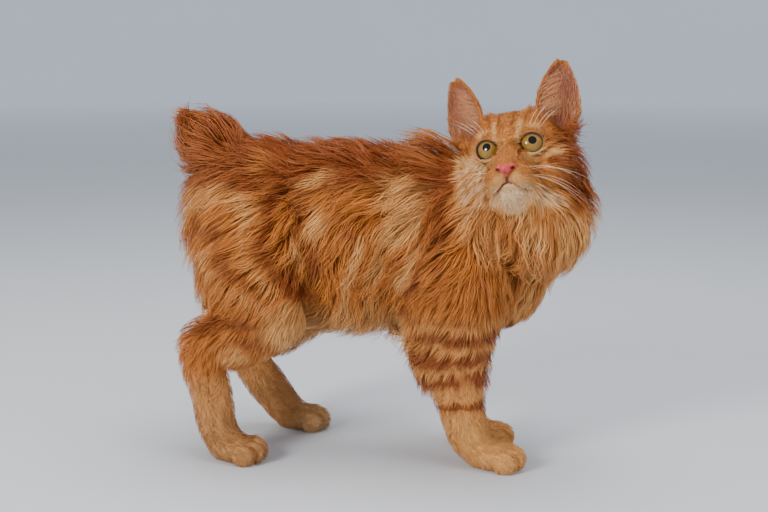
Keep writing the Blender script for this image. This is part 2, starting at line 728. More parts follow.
sideStripes = [  # strength, half width, line in x and z, on the flank
    (1.0, 6, [(-68, 204), (-76, 183), (-78, 167), (-69, 152), (-59, 139), (-51, 132)]),
    (0.8, 4, [(-29, 212), (-24, 205), (-14, 182), (-11, 176)]),
    (0.9, 5, [(-50, 194), (-48, 176), (-37, 166), (-41, 153)]),
    (0.8, 4, [(-3, 154), (2, 136)]),
    (0.7, 4, [(21, 165), (15, 147)]),
    (1.0, 2.6, [(40, 200), (40, 181), (40, 168), (37, 148), (26, 134), (21, 121)]),
    (0.8, 6, [(50, 168), (53, 153)]),
    (0.9, 6, [(60, 208), (54, 188), (50, 176)]),
    (0.8, 5, [(-138, 171), (-130, 178), (-103, 177)]),
    (0.9, 4, [(-106, 167), (-97, 151), (-86, 143), (-72, 133)]),
    (0.9, 4.5, [(-128, 153), (-112, 142), (-100, 135), (-85, 125), (-78, 114)]),
    (0.9, 6.5, [(-141, 103), (-122, 106), (-104, 112), (-84, 113)]),
    (0.8, 5, [(-112, 92), (-98, 96), (-84, 94)]),
    (0.8, 5, [(-80, 99), (-71, 87)]),
    (1.0, 7, [(44, 230), (51, 226), (52, 210), (48, 192)]),
    (0.5, 4, [(75, 190), (84, 168), (80, 145)]),
    (0.7, 4, [(100, 180), (108, 160), (100, 138)]),
    (0.6, 4, [(120, 192), (126, 172), (118, 150)]),
]
sidePales = [
    (0.5, 6, [(-134, 200), (-120, 198), (-109, 205)]),
    (0.7, 5, [(-135, 196), (-137, 181)]),
    (0.7, 4.5, [(-92, 198), (-84, 183), (-84, 164), (-77, 151), (-69, 138)]),
    (0.7, 4.5, [(-139, 160), (-117, 158), (-104, 137), (-84, 130), (-69, 112), (-59, 106)]),
    (0.8, 5, [(-124, 137), (-122, 123), (-132, 112)]),
    (0.9, 4, [(-42, 209), (-31, 213)]),
    (0.9, 3, [(-38, 192), (-32, 184), (-42, 179), (-55, 173), (-57, 160)]),
    (0.85, 7, [(15, 204), (30, 203), (27, 188), (16, 178)]),
    (0.8, 4, [(36, 168), (31, 153), (20, 141)]),
    (0.8, 3.5, [(-5, 173), (-11, 158), (-19, 140), (-20, 127), (-27, 119)]),
    (0.7, 3, [(10, 165), (4, 150), (0, 130), (-6, 116)]),
    (0.8, 5, [(-59, 123), (-50, 108)]),
    (0.65, 8, [(66, 200), (76, 184), (86, 168)]),
    (0.9, 5, [(-104, 90), (-98, 86)]),
]
leftMoved = (7.0, -4.0)  # how far the left side's lines are moved, so that the sides differ
# height, half width and strength of the forelegs' bars
frontBars = [(121, 5.2, 0.9), (102, 5.0, 1.0), (87, 4.6, 1.0), (69, 6.4, 1.0), (48, 3.2, 1.0)]

faceStripes = [  # strength, half width, line in the head's frame, on both sides
    (0.85, 1.7, [(8, 7, 38), (14, 5.5, 34), (19, 5.5, 28), (24, 3.2, 20)]),
    (0.85, 1.6, [(4, 17, 32), (10, 14.5, 30), (15, 12.5, 26), (20, 12.5, 20)]),
    (0.7, 1.1, [(6, 1.5, 37), (14, 2.2, 33), (20, 1.2, 27)]),
    (0.9, 2.4, [(-22, 7, 33), (0, 6, 36), (12, 5, 35)]),
    (0.8, 2.4, [(-20, 17, 28), (-4, 17, 30), (8, 16, 30)]),
    (1.0, 1.7, [(17, 24.5, 9), (8, 33, 6), (-6, 39, 1)]),
    (1.0, 2.0, [(20, 26, -8), (8, 36, -12), (-4, 41, -18)]),
    (0.9, 1.2, [(36, 8, -14), (31, 15, -15.5), (22, 23, -15), (10, 33, -20)]),
    (0.9, 3.6, [(14, 28, -24), (2, 36, -28)]),
    (0.9, 4.0, [(-14, 41, -8), (-22, 41, -26)]),
    (0.9, 3.5, [(6, 38, 14), (-8, 42, 12)]),
    (1.0, 1.5, [(27, 8.5, 2), (32, 7, -4), (37, 5.5, -9)]),
    (0.6, 2.2, [(30, 3, 4), (20, 2, 16)]),
]
facePales = [
    (0.8, 1.7, [(21, 9.2, 25), (26, 8.5, 15), (30, 7.5, 6)]),
    (0.6, 1.8, [(22, 14, 19), (17, 22, 16)]),
    (0.75, 2.2, [(27, 16, -4), (21, 25, -3), (13, 32, -1)]),
    (0.7, 3.4, [(45, 4, -20), (42, 7, -23), (36, 12, -25)]),
    (0.5, 2.2, [(26, 8, -3), (22, 12, -5), (20, 18, -6)]),
    (1.0, 8, [(38, 0, -30), (36, 0, -33), (29, 0, -38)]),
    (0.9, 6, [(33, 8, -31), (25, 15, -32), (15, 23, -34)]),
    (0.5, 12, [(12, 0, -42), (2, 0, -50)]),
]
rightCheekPales = [
    (1.0, 6, [(22, -24, -5), (17, -31, -8), (8, -38, -10)]),
    (0.9, 6, [(22, -23, -17), (14, -32, -21), (6, -37, -24)]),
    (0.85, 7, [(12, -30, 4), (4, -34, 5), (-4, -38, 0), (-6, -40, -8)]),
]


def strokeShare(points, stripes, soften=1.0):
    # how strongly each point lies under any of the lines
    share = np.zeros(len(points))
    for strength, half, line in stripes:
        line = np.array(line, float)
        nearest = np.full(len(points), 1e9)
        for a, b in zip(line, line[1:]):
            t = np.clip(((points - a) @ (b - a)) / ((b - a) @ (b - a)), 0, 1)
            nearest = np.minimum(nearest, np.linalg.norm(points - a - t[:, None] * (b - a), axis=1))
        share = np.maximum(share, strength * (1 - ramp(nearest, half * 0.5, half * (1 + soften))))
    return share


def laidOn(stripes):
    # the face's lines moved onto the skin
    laid = []
    for strength, half, line in stripes:
        fine = smoothThrough([p + (0,) for p in line], 5)[:, :3]
        laid.append((strength, half, apply(toHead, nearestOn(apply(head, fine))[0])))
    return laid


def bodyMarkings(points):
    # rust and cream of trunk, legs and tail
    x, y, z = points.T
    drift = points + wander(points, 13) * 2.6 + wander(points, 6) * 1.0
    flat = drift[:, [0, 2]] + np.where(y > 0, 1, 0)[:, None] * np.array(leftMoved)
    side = ramp(np.abs(y), 8, 24)
    dark, pale = strokeShare(flat, sideStripes) * side, strokeShare(flat, sidePales) * side
    # a deep saddle along the back, cream below and on the chest
    rust = 0.47 + 0.20 * swirl(points, 16, 1) + 0.55 * ramp(z + 4 * swirl(points, 20, 2), 188, 212)
    rust *= 1 - 0.30 * ramp(x, 78, 105)
    cream = 0.52 * ramp(-z, -136, -100) * ramp(-np.abs(x + 28), -62, -44)
    cream = np.maximum(cream, (0.30 + 0.16 * swirl(points, 9, 2)) * ramp(x, 84, 112) * ramp(-z, -205, -185))
    # the forelegs' bars, bent and broken
    legZone = ramp(-z, -128, -112) * ramp(x, 12, 34)
    bars = np.zeros(len(points))
    bend, broken = 3.4 * swirl(points, 21, 1), np.clip(1.08 + 0.55 * swirl(points, 13, 2), 0.45, 1)
    for height, half, strength in frontBars:
        bar = np.abs(drift[:, 2] + bend - height - 0.12 * (x - 60))
        bars = np.maximum(bars, strength * broken * (1 - ramp(bar, half * 0.75, half * 1.4)) * legZone)
    dark = np.maximum(dark * (1 - legZone * 0.7), bars)
    rust = np.maximum(rust * (1 - 0.75 * legZone), dark * (1 + 0.3 * legZone))
    cream = np.maximum(cream, 0.24 * legZone)
    rust *= 1 - 0.78 * pale
    cream = np.maximum(cream, 0.47 * pale) * (1 - 0.9 * dark)
    # lower legs and feet are plain apricot, the toes paler
    front = ramp(x, 0, 20)
    low = ramp(-z, -76, -58) * (1 - front) + ramp(-z, -46, -38) * front
    rust *= 1 - 0.50 * low * (1 - dark * front)
    cream = np.maximum(cream, (0.22 + 0.13 * front) * low) + 0.06 * ramp(-z, -16, -6)
    inside = ramp(-np.abs(y), -22, -12) * ramp(-z, -120, -100)
    cream = np.maximum(cream, 0.40 * inside * (1 - 0.8 * dark))
    # tail: deep rust, paler in the fan behind
    tail = ramp(-x, 96, 108) * ramp(z, 202, 214)
    rust = rust + (0.92 - 0.3 * ramp(-x, 146, 166) - rust) * tail
    return rust, cream * (1 - 0.9 * tail)


def faceMarkings(points):
    own = apply(toHead, points)
    drift = own + wander(points, 5) * 0.9
    drift[:, 1] = np.abs(drift[:, 1])
    dark, pale = strokeShare(drift, faceStripes, 0.7), strokeShare(drift, facePales)
    pale = np.maximum(pale, strokeShare(own, rightCheekPales))
    rust = 0.40 + 0.16 * swirl(points, 7, 1) + 0.25 * ramp(-own[:, 0], 0, 20)
    rust += 0.62 * ramp(own[:, 1], 22, 36)
    rust = np.maximum(rust, dark) * (1 - 0.9 * pale)
    white = ramp(own[:, 0], 20, 36) * ramp(-own[:, 2], 16, 30)
    cream = np.maximum(np.maximum(0.10 * ramp(own[:, 0], 5, 25), 0.72 * pale), 0.8 * white)
    return rust, cream * (1 - 0.8 * dark)


def cupShare(points, side, share):
    # the bare inner face of an ear, and the foot of its cup
    p = apply(toEar[side], points)
    up = np.clip(p[:, 2] / ears["height"], -0.3, 1)
    half = earHalf(up)
    bend = np.arcsin(np.clip(p[:, 1] * math.sin(ears["bend"]) / half, -0.98, 0.98))
    ahead = p[:, 0] - earDepth(up, bend)
    cup = ramp(ahead, -0.1, 0.5) * ramp(-np.abs(p[:, 1]) / half, -0.99, -0.86) * ramp(-up, -0.99, -0.84)
    low = ramp(p[:, 2], -8, 0) * (np.abs(p[:, 1]) < half * 0.55) * (np.abs(ahead) < 3)
    return cup * np.maximum(share, low)


def markings(points):
    # rust, cream and bare skin, each between 0 and 1, at places in the model
    rust, cream = bodyMarkings(points)
    faceRust, faceCream = faceMarkings(points)
    onHead = headShare(points)
    rust, cream = rust + (faceRust - rust) * onHead, cream + (faceCream - cream) * onHead
    # ears: rust behind, bare and pink in the cup
    bare = np.zeros(len(points))
    for side, share in earShare(points).items():
        bare = np.maximum(bare, cupShare(points, side, share))
        rust = rust + (0.62 - rust) * share
        cream *= 1 - 0.6 * share
    return np.clip(rust, 0, 1), np.clip(cream, 0, 1), bare


# the skin's own values and the bare places on it

faceStripes, facePales, rightCheekPales = laidOn(faceStripes), laidOn(facePales), laidOn(rightCheekPales)


def rimShare(points):
    # the dark lids: 1 at the eyeball, 0 a little outside the opening
    share = np.zeros(len(points))
    for side in sides:
        own = ownFrame(eyeMatrix(side), points)
        apart = np.linalg.norm(own, axis=1) - eyes["radius"]
        above = ramp(own[:, 2], -2, 5)
        inner = ramp(-side * own[:, 1], 5.5, 8.5) * ramp(own[:, 0], 0, 3)
        ring = 1 - ramp(apart, 0.65 + 0.5 * above + 1.3 * inner, 1.45 + 0.7 * above + 1.8 * inner)
        share = np.maximum(share, np.maximum(ring, 0.30 * above * (1 - ramp(apart, 2.0, 4.2))))
    return share


def fromMouth(points, far=28):
    # distance from the line of the mouth, far for all points beyond that
    line = np.array(mouthPoints)
    apart = np.full(len(points), float(far))
    close = np.linalg.norm(points - line.mean(0), axis=1) < far
    apart[close] = np.linalg.norm(points[close][:, None] - line[None], axis=2).min(1)
    return apart


def lipShare(points):
    # the dark line where the lips meet
    return 1 - ramp(fromMouth(points), 0.7, 1.9)


def mouthRoom(points):
    # hairs shrink towards the mouth, so that it shows
    return 0.34 + 0.66 * ramp(fromMouth(points), 1.0, 5)


def onNose(points, grow=1.12):
    own = apply(toHead, points)
    apart = [np.linalg.norm((own - c) / (np.array(r) * grow), axis=1) for c, r in bothSides(noseForms)]
    return np.min(apart, 0) < 1


rust, cream, bare = markings(points)
lie = lieAt(points)[0]
lie = unit(lie - softNormals * (lie * softNormals).sum(1)[:, None])
grain = points - lie * (points * lie).sum(1)[:, None] * 0.86
cleft = np.max([toeGap(ownFrame(footPlace(x, y, degrees), points)) for (x, y), degrees in feet.values()], 0)
rim = np.maximum(rimShare(points), 0.5 * cleft)
for key, values in dict(rust=rust, cream=cream, bare=bare, rim=rim, lip=lipShare(points)).items():
    setValues(skin, key, values)
grainLayer = skin.data.attributes.new("grain", "FLOAT_VECTOR", "POINT")
grainLayer.data.foreach_set("vector", grain.astype(np.float32).ravel())
print("skin marked")


# the coat

coat = dict(
    seed=11, cover=6.3, coverShort=1.25, coverFace=2.3, coverEar=2.2, clump=(0.26, 0.54), wave=2.0,
    waveLength=17, guideLoose=0.32, guideSteps=8, width=(0.31, 0.0102), flatness=0.45,
    lengthSpread=(0.70, 1.12), most=1430000,  # triangles in all
)
rng = np.random.default_rng(coat["seed"])
corner = points[tris]
triArea = np.linalg.norm(np.cross(corner[:, 1] - corner[:, 0], corner[:, 2] - corner[:, 0]), axis=1) / 2
centres = points[tris].mean(1)
triNormals = unit(softNormals[tris].mean(1))
_, triLength, _, _ = lieAt(centres)
triHead, triEar = headShare(centres), sum(earShare(centres).values())
triBare = markings(centres)[2]
blocked = (rimShare(centres) > 0.5) | onNose(centres) | (centres[:, 2] < 1.2) | (lipShare(centres) > 0.4)


def strandWidth(length):
    return coat["width"][0] + coat["width"][1] * length - 0.10 * (1 - ramp(length, 3, 9))


def scatter(density):
    # random places on the skin, density per square millimetre on each triangle
    weight = np.where(blocked, 0, triArea * density)
    count = int(weight.sum())
    pick = rng.choice(len(tris), count, p=weight / weight.sum())
    a, b = rng.random((2, count, 1))
    over = (a + b) > 1
    a, b = np.where(over, 1 - a, a), np.where(over, 1 - b, b)
    p, q, r = (points[tris[pick, k]] for k in range(3))
    return p + (q - p) * a + (r - p) * b, triNormals[pick], pick


def thinned(places, spacing, cellSize=10):
    # keeps places that stand at least their spacing apart
    kept, cells = [], {}
    steps = list(itertools.product((-1, 0, 1), repeat=3))
    for i, (p, s) in enumerate(zip(places.tolist(), spacing.tolist())):
        u, v, w = (int(c // cellSize) for c in p)
        near = [q for a, b, c in steps for q in cells.get((u + a, v + b, w + c), ())]
        if all((p[0] - q[0])**2 + (p[1] - q[1])**2 + (p[2] - q[2])**2 > s * s for q in near):
            kept.append(i)
            cells.setdefault((u, v, w), []).append(p)
    return np.array(kept)


def growLines(roots, ups, steps=coat["guideSteps"]):
    # lines that leave the skin, rise through the under-coat and lie along the body
    _, length, lift, depth = lieAt(roots)
    length = length * rng.uniform(0.85, 1.12, len(roots))
    own = rng.normal(size=(len(roots), 3)) * 0.16
    surface, up = roots.copy(), ups.copy()
    lines = [roots - up * 0.4]
    for i in range(1, steps + 1):
        s = i / steps
        way = lieAt(surface)[0] + wander(surface, 24) * coat["guideLoose"] + own
        way = unit(way - up * (way * up).sum(1)[:, None])
        surface, up = nearestOn(surface + way * (length / steps)[:, None])
        rise = depth * (1 - (1 - s)**2.4) + length * np.sin(np.radians(lift)) * s**1.3
        lines.append(surface + up * rise[:, None])
    lines = np.stack(lines, 1)
    aside = unit(np.cross(lines[:, -1] - lines[:, 0], ups))
    s = np.linspace(0, 1, steps + 1)
    phase = swirl(roots, 30) * 3 + rng.normal(size=len(roots)) * 0.9
    onChest = ramp(roots[:, 0], 84, 112)
    turns = length / coat["waveLength"] * (1 + 0.3 * onChest)
    swing = np.sin(2 * math.pi * s[None] * turns[:, None] + phase[:, None]) * ramp(s, 0.1, 0.6)
    reach = coat["wave"] * ramp(length, 14, 32) * (1 + 1.3 * onChest)
    lines += aside[:, None] * (swing * reach[:, None])[:, :, None]
    lines += ups[:, None] * (np.roll(swing, 1, 1) * reach[:, None] * 0.4)[:, :, None]
    return lines, length


guideSpacing = np.clip(1.6 + 0.145 * triLength, 2.4, 7.0)
guideRoots, guideUps, guideTri = scatter(5.0 / guideSpacing**2)
keep = thinned(guideRoots, guideSpacing[guideTri] * 0.85)
guideRoots, guideUps, guideTri = guideRoots[keep], guideUps[keep], guideTri[keep]
guideLines, guideLength = growLines(guideRoots, guideUps)
print("guides", len(guideRoots))
# the nearest guides are looked up a little above the skin, so that thin parts don't share theirs
overSkin = 6
guideTree = KDTree(len(guideRoots))
for i, p in enumerate((guideRoots + guideUps * overSkin).tolist()):
    guideTree.insert(p, i)
guideTree.balance()
guideTone = rng.normal(size=len(guideRoots)) * 0.5


def needles(lines, widths, aside, flatness):
    # closed three-sided locks along lines: rings of three, then a point
    count, rows = lines.shape[:2]
    tangent = unit(np.gradient(lines, axis=1))
    side = unit(aside[:, None] - tangent * (aside[:, None] * tangent).sum(2, keepdims=True))
    over = np.cross(tangent, side)
    s = np.linspace(0, 1, rows)[:-1]
    profile = (0.62 + 0.38 * np.sin(np.clip(s / 0.55, 0, 1) * math.pi / 2)) * (1 - ramp(s, 0.45, 1.12))
    w = widths[:, None, None] * profile[None, :, None] / 2
    a = lines[:, :-1] + side[:, :-1] * w
    b = lines[:, :-1] - side[:, :-1] * w
    c = lines[:, :-1] + over[:, :-1] * w * 2 * flatness
    rings = np.stack([a, b, c], 2).reshape(count, -1, 3)
    vertices = np.concatenate([rings, lines[:, -1:]], 1)
    faces = [(0, 2, 1)]
    for i in range(rows - 2):
        for j in range(3):
            p, q = 3 * i + j, 3 * i + (j + 1) % 3
            faces += [(p, q, q + 3), (p, q + 3, p + 3)]
    last, tip = 3 * (rows - 2), 3 * (rows - 1)
    faces += [(last + j, last + (j + 1) % 3, tip) for j in range(3)]
    faces = np.array(faces)
    each = vertices.shape[1]
    allFaces = (faces[None] + (np.arange(count) * each)[:, None, None]).reshape(-1, 3)
    along = np.concatenate([np.repeat(s, 3), [1.0]])
    across = np.concatenate([np.tile([0.0, 1.0, 0.5], rows - 1), [0.5]])
    return vertices, allFaces, along, across


def patchUv(pick, along, across, faces):
    # each lock is a small patch at its root's place on the skin's own unwrap
    spread = np.stack([(across - 0.5) * patch, (along - 0.5) * patch], 1)
    return (triUv[pick][:, None] + spread[None]).reshape(-1, 2)[faces.ravel()]


def nearestGuides(roots, ups):
    # the three nearest guides of each root, and how much each counts
    near = np.empty((len(roots), 3), int)
    apart = np.empty((len(roots), 3))
    for i, p in enumerate((roots + ups * overSkin).tolist()):
        found = guideTree.find_n(p, 3)
        near[i] = [f[1] for f in found]
        apart[i] = [f[2] for f in found]
    weight = 1 / (apart + 0.6)**2
    return near, weight / weight.sum(1, keepdims=True)


def lockLines(roots, near, weight):
    # every lock follows its three guides and is drawn towards the nearest
    count = len(roots)
    moves = guideLines - guideLines[:, :1]
    own = (moves[near] * weight[:, :, None, None]).sum(1)
    scale = rng.uniform(*coat["lengthSpread"], count) * mouthRoom(roots)
    lines = roots[:, None] + own * scale[:, None, None]
    steps = np.linspace(0, 1, guideLines.shape[1])
    length = guideLength[near[:, 0]] * scale
    low, high = coat["clump"]
    clump = low + (high - low) * ramp(-roots[:, 2], -215, -150) * ramp(length, 10, 24)
    onTail = (roots[:, 0] < -100) & (roots[:, 2] > 205)
    clump *= (0.4 + 0.6 * ramp(length, 5, 14)) * np.where(onTail, 0.6, 1)
    pull = clump[:, None, None] * steps[None, :, None]**1.4 * rng.uniform(0.6, 1.15, (count, 1, 1))
    target = guideLines[near[:, 0]]
    loose = rng.normal(size=(count, 1, 3)) * (0.018 * length)[:, None, None]
    lines = lines + (target + loose - lines) * pull
    lines += rng.normal(size=(count, 1, 3)) * (0.012 * length)[:, None, None] * steps[None, :, None]**2
    # between the legs the coat ends at its hem
    lowest = np.interp(lines[:, -1, 0], *np.array(hem).T) + rng.uniform(-3, 4, count)
    hangs = (roots[:, 2] > lowest + 5) & (lines[:, -1, 2] < lowest) & (np.abs(lines[:, -1, 0] + 42) < 52)
    shorter = np.where(hangs, (roots[:, 2] - lowest) / np.maximum(roots[:, 2] - lines[:, -1, 2], 1), 1)
    return roots[:, None] + (lines - roots[:, None]) * np.maximum(shorter, 0.35)[:, None, None], length


def tuftPiece(name, roots, ups, pick, segments):
    # one piece of coat
    count = len(roots)
    near, weight = nearestGuides(roots, ups)
    lines, length = lockLines(roots, near, weight)
    fine = np.linspace(0, 1, segments + 1)
    at = fine * (lines.shape[1] - 1)
    lowRow = np.minimum(at.astype(int), lines.shape[1] - 2)
    lines = lines[:, lowRow] + (lines[:, lowRow + 1] - lines[:, lowRow]) * (at - lowRow)[None, :, None]
    lines[:, :, 2] = np.maximum(lines[:, :, 2], lowestHair)
    twist = rng.normal(size=count) * 0.5
    aside = np.cross(lines[:, -1] - lines[:, 0], ups)
    aside = unit(unit(aside) * np.cos(twist)[:, None] + ups * np.sin(twist)[:, None])
    widths = strandWidth(length) * rng.uniform(0.75, 1.25, count)
    vertices, faces, along, across = needles(lines, widths, aside, coat["flatness"])
    each = vertices.shape[1]
    # the markings are read between root and lock, nearer to the lock towards its tip
    own = 0.25 + 0.55 * fine
    rows = np.array([markings(roots * (1 - share) + lines[:, i] * share) for i, share in enumerate(own)])
    rowOf = np.concatenate([np.repeat(np.arange(segments), 3), [segments]])
    rust, cream, bare = (rows[rowOf, k].T.ravel() for k in range(3))
    tone = 0.5 * rng.normal(size=count) + guideTone[near[:, 0]]
    values = dict(
        rust=rust, cream=cream, bare=bare * 0.35, tone=np.repeat(tone, each), along=np.tile(along, count),
    )
    piece = makeObject(name, vertices.reshape(-1, 3), faces, values, patchUv(pick, along, across, faces))
    print(name, count, "locks", len(faces), "triangles")
    return piece


cover = coat["coverShort"] + (coat["cover"] - coat["coverShort"]) * ramp(triLength, 9, 27)
cover = np.where(triHead > 0.5, np.maximum(cover, coat["coverFace"]), cover)
cover = np.where(triEar > 0.5, coat["coverEar"], cover)
onTail = (centres[:, 0] < -100) & (centres[:, 2] > 208)
density = cover / np.maximum(mouthRoom(centres), 0.45) * (1 + 1.2 * onTail) * (1 - 0.92 * triBare)
density /= triLength * strandWidth(triLength) * 0.55
segments = np.select([(triEar > 0.5) | (triLength < 11), triLength < 22], [2, 4], 5)
wanted = (np.where(blocked, 0, triArea * density) * (6 * segments - 2)).sum()
print("coat wants", int(wanted), "triangles")
density *= min(1, coat["most"] / wanted)
roots, ups, pick = scatter(density)
rootSegments = segments[pick]
x, y, z = roots.T
side = np.where(y < 0, "Right", "Left")
short, onHead = rootSegments == 2, triHead[pick] > 0.5
# the first that holds names a root's zone
zones = dict(
    ears=triEar[pick] > 0.5, face=onHead & short, cheeks=onHead, forelegs=short & (x > 0), hocks=short,
    tail=(x < -98) & (z > 206), chest=x > 86, haunch=x < -78, back=z > 208, arm=(z < 128) & (x > 15),
    belly=z < 124, shoulder=x > 10,
)
zone = np.select(list(zones.values()), list(zones), "flank")
shortZones = ("ears", "face", "forelegs", "hocks")
fewest = 60  # locks in a piece
coatPieces = []
for name in sorted(set(zone)):
    for end in ("Right", "Left"):
        for rows in (2, 4, 5):
            own = (zone == name) & (side == end) & (rootSegments == rows)
            if own.sum() > fewest:
                main = rows == (2 if name in shortZones else 5)
                label = f"coat_{name}{end}" + ("" if main else "Short")
                coatPieces.append(tuftPiece(label, roots[own], ups[own], pick[own], rows))


# finishes

class Wire:
    # a number coming out of a node, with the usual sums
    def __init__(self, graph, socket):
        self.graph, self.socket = graph, socket

    def math(self, operation, *others):
        return self.graph.node("ShaderNodeMath", dict(operation=operation), dict(enumerate(others)))

    def __add__(self, other):
        return self.math("ADD", self, other)

    def __radd__(self, other):
        return self.math("ADD", other, self)

    def __sub__(self, other):
        return self.math("SUBTRACT", self, other)

    def __rsub__(self, other):
        return self.math("SUBTRACT", other, self)

    def __mul__(self, other):
        return self.math("MULTIPLY", self, other)

    def __rmul__(self, other):
        return self.math("MULTIPLY", other, self)

    def __truediv__(self, other):
        return self.math("DIVIDE", self, other)


class Graph:
    def __init__(self, name, **shader):
        self.material = bpy.data.materials.new(name)
        self.material.use_nodes = True
        self.tree = self.material.node_tree
        self.shader = self.tree.nodes["Principled BSDF"]
        for key, value in shader.items():
            self.shader.inputs[key.replace("_", " ")].default_value = value

    def node(self, kind, settings=None, sockets=None, output=0):
        made = self.tree.nodes.new(kind)
        for key, value in (settings or {}).items():
            setattr(made, key, value)
        for key, value in (sockets or {}).items():
            if isinstance(value, Wire):
                self.tree.links.new(value.socket, made.inputs[key])
            else:
                made.inputs[key].default_value = value
        return Wire(self, made.outputs[output])

    def attribute(self, name, output="Fac"):
        settings = dict(attribute_name=name, attribute_type="GEOMETRY")
        return self.node("ShaderNodeAttribute", settings, output=output)

    def mix(self, factor, a, b):
        # the colours are inputs 6 and 7 of the node, and its output 2
        a, b = (v if isinstance(v, Wire) else (*v, 1) for v in (a, b))
        return self.node("ShaderNodeMix", dict(data_type="RGBA"), {0: factor, 6: a, 7: b}, 2)

    def scale(self, colour, value):
        return self.node("ShaderNodeVectorMath", dict(operation="SCALE"), {0: colour, 3: value})

    def place(self):
        return self.node("ShaderNodeTexCoord", output="Object")

    def noise(self, where, scale, detail=2.0, roughness=0.5):
        sockets = dict(Vector=where, Scale=scale, Detail=detail, Roughness=roughness)
        return self.node("ShaderNodeTexNoise", None, sockets)

    def limit(self, value):
        return self.node("ShaderNodeClamp", None, dict(Value=value, Min=0.0, Max=1.0))

    def bump(self, height, strength, distance):
        return self.node("ShaderNodeBump", None, dict(Height=height, Strength=strength, Distance=distance))

    def feed(self, **sockets):
        for key, value in sockets.items():
            self.tree.links.new(value.socket, self.shader.inputs[key.replace("_", " ")])
        return self.material


hues = dict(
    rust=(0.29, 0.060, 0.010), ginger=(0.60, 0.185, 0.028), bright=(0.80, 0.33, 0.070),
    apricot=(0.82, 0.43, 0.145), white=(0.97, 0.77, 0.51), dust=(0.33, 0.20, 0.11),
    pink=(0.20, 0.050, 0.026), vein=(0.33, 0.105, 0.052), bareHair=(0.85, 0.62, 0.47),
    rim=(0.060, 0.022, 0.015), lip=(0.19, 0.056, 0.042), pupil=(0.002, 0.002, 0.003),
    irisDark=(0.15, 0.075, 0.008), irisLight=(0.42, 0.215, 0.030), irisGreen=(0.14, 0.13, 0.026),
    irisInner=(0.50, 0.24, 0.040), irisEdge=(0.030, 0.020, 0.014),
    nose=(0.42, 0.034, 0.026), noseLight=(0.55, 0.078, 0.056), nostril=(0.16, 0.014, 0.012),
    earHair=(0.62, 0.27, 0.115), whisker=(0.90, 0.72, 0.54),
)


def coatColour(g, tone):
    # the same markings for the skin and for the locks over it
    rust, cream = g.attribute("rust"), g.attribute("cream")
    cloud = g.noise(g.place(), 70.0, 3.0) - 0.5
    colour = g.mix(g.limit(rust + cloud * 0.35 + tone * 0.10), hues["bright"], hues["rust"])
    fromMiddle = rust + cloud * 0.3 - 0.42
    colour = g.mix(g.limit(1 - fromMiddle * fromMiddle * 7) * 0.75, colour, hues["ginger"])
    pale = (cream + tone * 0.05) * 2
    colour = g.mix(g.limit(pale), colour, hues["apricot"])
    colour = g.mix(g.limit(pale - 1), colour, hues["white"])
    ahead, height = (g.node("ShaderNodeSeparateXYZ", None, {0: g.place()}, k) for k in (0, 2))
    dusky = g.limit((0.075 - height) / 0.045) * g.limit(0.6 - ahead * 20)  # the hind feet, in metres
    return g.mix(dusky * 0.34, colour, hues["dust"])


def coatFinish():
    g = Graph("coatLocks", Roughness=0.48, Specular_IOR_Level=0.32)
    tone, along = g.attribute("tone"), g.attribute("along")
    colour = coatColour(g, tone)
    colour = g.scale(colour, 0.86 + tone * 0.07 + along * 0.24)
    colour = g.mix(g.limit(g.attribute("bare")), colour, hues["bareHair"])
    return g.feed(Base_Color=colour)


def skinFinish():
    g = Graph("coatSkin", Roughness=0.62, Specular_IOR_Level=0.25)
    grain = g.attribute("grain", "Vector")
    fine, coarse = g.noise(grain, 1.4, 3.0, 0.6), g.noise(grain, 0.45, 2.0)
    colour = coatColour(g, (coarse - 0.5) * 3)
    colour = g.scale(colour, 0.62 + fine * 0.55)
    veins = g.mix(g.noise(g.place(), 220.0, 4.0), hues["pink"], hues["vein"])
    colour = g.mix(g.limit(g.attribute("bare")), colour, veins)
    colour = g.mix(g.limit(g.attribute("rim")), colour, hues["rim"])
    colour = g.mix(g.limit(g.attribute("lip")), colour, hues["lip"])
    return g.feed(Base_Color=colour, Normal=g.bump(fine + coarse * 0.5, 0.55, 0.0006))


dress(skin, skinFinish())
fleshNodes = ["head", "neck", "torso", "tail"]
for side in ("right", "left"):
    fleshNodes += [f"hock_{side}", f"ear_{side}"]
    fleshNodes += [f"{part}_{end}_{side}" for part in ("leg", "paw") for end in ("front", "hind")]
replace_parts(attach(skin, "root"), *fleshNodes)
coatMaterial = coatFinish()
for piece in coatPieces:
    dress(piece, coatMaterial)
    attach(piece, "root")
print("coat finished")


# eyes

def makeEye(name, side, rings=72, around=96):
    # rings run outwards from the middle of the pupil; the cornea bulges a little
    angle = np.radians(np.concatenate([np.linspace(0, 62, rings - 10), np.linspace(66, 180, 11)]))
    turn = np.linspace(0, 2 * math.pi, around, endpoint=False)
    bulge = 1 + 0.045 * np.clip(1 - (np.degrees(angle) / 56)**2, 0, 1)
    r = (eyes["radius"] - 0.05) * bulge
    x, s = np.cos(angle) * r, np.sin(angle) * r
    across, up = s[1:-1, None] * np.cos(turn), s[1:-1, None] * np.sin(turn)
    grid = np.stack([np.repeat(x[1:-1], around), across.ravel(), up.ravel()], 1)
    local = np.concatenate([[(x[0], 0, 0)], grid, [(x[-1], 0, 0)]])
    tris = globeFaces(len(angle) - 2, around)
    degrees = np.concatenate([[0], np.repeat(np.degrees(angle[1:-1]), around), [180]])
    across = np.concatenate([[0], np.tile(np.cos(turn), len(angle) - 2), [0]])
    up = np.concatenate([[0], np.tile(np.sin(turn), len(angle) - 2), [0]])
    place = eyeMatrix(side, eyes["gaze"][side])
    obj = makeObject(name, apply(place, local), tris, dict(out=degrees / 60, across=across, up=up))
    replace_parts(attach(obj, "root"), "eye_right" if side < 0 else "eye_left")
    return obj


